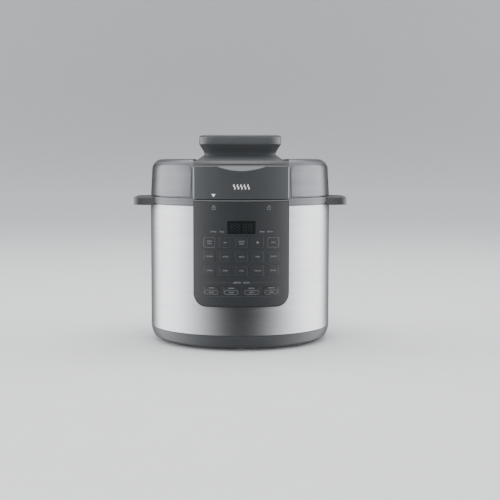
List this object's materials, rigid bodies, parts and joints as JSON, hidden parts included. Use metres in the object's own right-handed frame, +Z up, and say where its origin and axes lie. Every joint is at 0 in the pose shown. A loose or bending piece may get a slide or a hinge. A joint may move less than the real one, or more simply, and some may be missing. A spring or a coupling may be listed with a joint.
{
  "type": "electric pressure cooker",
  "caption": "Electric pressure cooker with a steel-wrapped base, curved key panel, side grips, lift-out pot and a domed lid that turns to lock, with a flared top handle.",
  "frame": {"origin": "on the pot's vertical axis, in the plane that the feet stand on", "axes": "+Z up along the pot's axis, -Y towards the key panel, +X towards the right-hand grip as seen from the panel"},
  "size_m": [0.3256, 0.29, 0.314],
  "materials": {
    "brushed_steel": "brushed",
    "dark_plastic": "satin",
    "grey_plastic": "satin",
    "panel_film": "satin",
    "smoked_lens": "gloss",
    "pressed_steel": "satin",
    "non_stick": "coated",
    "cast_aluminium": "cast",
    "silicone": "satin",
    "rubber": "matte",
    "board_green": "satin",
    "black_plastic": "satin",
    "clear_plastic": "gloss",
    "brass": "polished"
  },
  "bodies": {
    "base": {"base_cover": "dark_plastic", "foot_front_left": "rubber", "foot_front_right": "rubber", "foot_back_left": "rubber", "foot_back_right": "rubber", "outer_shell": "brushed_steel", "collar": "grey_plastic", "grip_left": "dark_plastic", "grip_right": "dark_plastic", "panel_housing": "panel_film", "display_lens": "smoked_lens", "display_module": "black_plastic", "control_board": "board_green", "well": "pressed_steel", "heating_plate": "cast_aluminium", "sensor_spring": "pressed_steel", "sensor_bracket": "pressed_steel", "power_board": "board_green", "power_inlet": "black_plastic", "inlet_pin_line": "brass", "inlet_pin_earth": "brass", "inlet_pin_neutral": "brass", "rear_housing": "dark_plastic"},
    "pot": {"inner_pot": "non_stick"},
    "seal": {"sealing_ring": "silicone", "ring_holder": "pressed_steel"},
    "lid": {"lid_cover": "grey_plastic", "lid_band": "dark_plastic", "lid_plate_left": "brushed_steel", "lid_plate_right": "brushed_steel", "lid_handle": "dark_plastic", "handle_cap": "dark_plastic", "pressure_plate": "pressed_steel", "vent_pipe": "pressed_steel", "vent_shield": "pressed_steel"},
    "weight": {"valve_weight": "pressed_steel"},
    "knob": {"valve_knob": "black_plastic"},
    "float": {"float_pin": "pressed_steel", "float_seal": "silicone"},
    "sensor": {"temperature_sensor": "cast_aluminium"},
    "cup": {"condensate_cup": "clear_plastic"},
    "key_row1_1": {"key_row1_1": "panel_film"},
    "key_row1_2": {"key_row1_2": "panel_film"},
    "key_row1_3": {"key_row1_3": "panel_film"},
    "key_row1_4": {"key_row1_4": "panel_film"},
    "key_row1_5": {"key_row1_5": "panel_film"},
    "key_row2_1": {"key_row2_1": "panel_film"},
    "key_row2_2": {"key_row2_2": "panel_film"},
    "key_row2_3": {"key_row2_3": "panel_film"},
    "key_row2_4": {"key_row2_4": "panel_film"},
    "key_row2_5": {"key_row2_5": "panel_film"},
    "key_row3_1": {"key_row3_1": "panel_film"},
    "key_row3_2": {"key_row3_2": "panel_film"},
    "key_row3_3": {"key_row3_3": "panel_film"},
    "key_row3_4": {"key_row3_4": "panel_film"},
    "key_row3_5": {"key_row3_5": "panel_film"},
    "key_preset_1": {"key_preset_1": "panel_film"},
    "key_preset_2": {"key_preset_2": "panel_film"},
    "key_preset_3": {"key_preset_3": "panel_film"},
    "key_preset_4": {"key_preset_4": "panel_film"}
  },
  "joints": [
    {"name": "pot_lift", "type": "slide", "parent": "base", "child": "pot", "axis": [0, 0, 1], "range_m": [0, 0.2]},
    {"name": "lid_lift", "type": "slide", "parent": "pot", "child": "seal", "axis": [0, 0, 1], "range_m": [0, 0.15]},
    {"name": "lid_turn", "type": "hinge", "parent": "seal", "child": "lid", "pos_m": [0, 0, 0.221], "axis": [0, 0, 1], "range_deg": [0, 32]},
    {"name": "valve_lift", "type": "slide", "parent": "lid", "child": "weight", "axis": [0, 0, 1], "range_m": [0, 0.03]},
    {"name": "valve_turn", "type": "hinge", "parent": "weight", "child": "knob", "pos_m": [-0.024, 0.08, 0.2862], "axis": [0, 0, 1], "range_deg": [0, 60]},
    {"name": "float_rise", "type": "slide", "parent": "lid", "child": "float", "axis": [0, 0, 1], "range_m": [0, 0.003]},
    {"name": "sensor_press", "type": "slide", "parent": "base", "child": "sensor", "axis": [0, 0, -1], "range_m": [0, 0.003], "stiffness_N_per_m": 1500, "springref_m": -0.001, "deforming": ["sensor_spring"]},
    {"name": "cup_slide", "type": "slide", "parent": "base", "child": "cup", "axis": [0, 1, 0], "range_m": [0, 0.05]},
    {"name": "key_row1_1_press", "type": "slide", "parent": "base", "child": "key_row1_1", "axis": [0.3159, 0.9488, 0], "range_m": [0, 0.0006], "stiffness_N_per_m": 2500, "springref_m": -0.0002},
    {"name": "key_row1_2_press", "type": "slide", "parent": "base", "child": "key_row1_2", "axis": [0.16, 0.9871, 0], "range_m": [0, 0.0006], "stiffness_N_per_m": 2500, "springref_m": -0.0002},
    {"name": "key_row1_3_press", "type": "slide", "parent": "base", "child": "key_row1_3", "axis": [0, 1, 0], "range_m": [0, 0.0006], "stiffness_N_per_m": 2500, "springref_m": -0.0002},
    {"name": "key_row1_4_press", "type": "slide", "parent": "base", "child": "key_row1_4", "axis": [-0.16, 0.9871, 0], "range_m": [0, 0.0006], "stiffness_N_per_m": 2500, "springref_m": -0.0002},
    {"name": "key_row1_5_press", "type": "slide", "parent": "base", "child": "key_row1_5", "axis": [-0.3159, 0.9488, 0], "range_m": [0, 0.0006], "stiffness_N_per_m": 2500, "springref_m": -0.0002},
    {"name": "key_row2_1_press", "type": "slide", "parent": "base", "child": "key_row2_1", "axis": [0.3159, 0.9488, 0], "range_m": [0, 0.0006], "stiffness_N_per_m": 2500, "springref_m": -0.0002},
    {"name": "key_row2_2_press", "type": "slide", "parent": "base", "child": "key_row2_2", "axis": [0.16, 0.9871, 0], "range_m": [0, 0.0006], "stiffness_N_per_m": 2500, "springref_m": -0.0002},
    {"name": "key_row2_3_press", "type": "slide", "parent": "base", "child": "key_row2_3", "axis": [0, 1, 0], "range_m": [0, 0.0006], "stiffness_N_per_m": 2500, "springref_m": -0.0002},
    {"name": "key_row2_4_press", "type": "slide", "parent": "base", "child": "key_row2_4", "axis": [-0.16, 0.9871, 0], "range_m": [0, 0.0006], "stiffness_N_per_m": 2500, "springref_m": -0.0002},
    {"name": "key_row2_5_press", "type": "slide", "parent": "base", "child": "key_row2_5", "axis": [-0.3159, 0.9488, 0], "range_m": [0, 0.0006], "stiffness_N_per_m": 2500, "springref_m": -0.0002},
    {"name": "key_row3_1_press", "type": "slide", "parent": "base", "child": "key_row3_1", "axis": [0.3159, 0.9488, 0], "range_m": [0, 0.0006], "stiffness_N_per_m": 2500, "springref_m": -0.0002},
    {"name": "key_row3_2_press", "type": "slide", "parent": "base", "child": "key_row3_2", "axis": [0.16, 0.9871, 0], "range_m": [0, 0.0006], "stiffness_N_per_m": 2500, "springref_m": -0.0002},
    {"name": "key_row3_3_press", "type": "slide", "parent": "base", "child": "key_row3_3", "axis": [0, 1, 0], "range_m": [0, 0.0006], "stiffness_N_per_m": 2500, "springref_m": -0.0002},
    {"name": "key_row3_4_press", "type": "slide", "parent": "base", "child": "key_row3_4", "axis": [-0.16, 0.9871, 0], "range_m": [0, 0.0006], "stiffness_N_per_m": 2500, "springref_m": -0.0002},
    {"name": "key_row3_5_press", "type": "slide", "parent": "base", "child": "key_row3_5", "axis": [-0.3159, 0.9488, 0], "range_m": [0, 0.0006], "stiffness_N_per_m": 2500, "springref_m": -0.0002},
    {"name": "key_preset_1_press", "type": "slide", "parent": "base", "child": "key_preset_1", "axis": [0.2965, 0.955, 0], "range_m": [0, 0.0006], "stiffness_N_per_m": 2500, "springref_m": -0.0002},
    {"name": "key_preset_2_press", "type": "slide", "parent": "base", "child": "key_preset_2", "axis": [0.1002, 0.995, 0], "range_m": [0, 0.0006], "stiffness_N_per_m": 2500, "springref_m": -0.0002},
    {"name": "key_preset_3_press", "type": "slide", "parent": "base", "child": "key_preset_3", "axis": [-0.1002, 0.995, 0], "range_m": [0, 0.0006], "stiffness_N_per_m": 2500, "springref_m": -0.0002},
    {"name": "key_preset_4_press", "type": "slide", "parent": "base", "child": "key_preset_4", "axis": [-0.2965, 0.955, 0], "range_m": [0, 0.0006], "stiffness_N_per_m": 2500, "springref_m": -0.0002}
  ]
}
